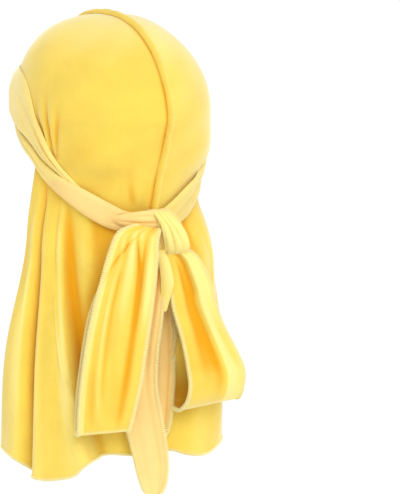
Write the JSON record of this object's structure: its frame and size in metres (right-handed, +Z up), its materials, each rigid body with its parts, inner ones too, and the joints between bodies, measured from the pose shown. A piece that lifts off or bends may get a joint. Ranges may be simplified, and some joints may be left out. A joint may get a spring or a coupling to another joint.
{
  "type": "durag",
  "caption": "Velvet durag as worn: two-panel crown with a raised centre seam, long straps crossed round the head and tied in a bow at the nape, and a folded cape.",
  "frame": {"origin": "inside of the crown's top, where the wearer's head bears on the cloth", "axes": "+Z up, -Y the way the wearer faces, +X the wearer's left"},
  "size_m": [0.1995, 0.2134, 0.4083],
  "materials": {
    "velvet": "soft short pile",
    "velvet_light": "soft short pile, brushed up",
    "velvet_reverse": "matt knitted back of the velvet"
  },
  "bodies": {
    "root": {"crown_left_panel": "velvet", "crown_right_panel": "velvet_light", "centre_seam": "velvet", "left_strap_wrap": "velvet_light", "right_strap_wrap": "velvet_light", "cape": "velvet", "knot": "velvet_light", "left_bow_loop": "velvet", "right_bow_loop": "velvet", "front_tail": "velvet_reverse", "rear_tail": "velvet_reverse"}
  },
  "joints": []
}
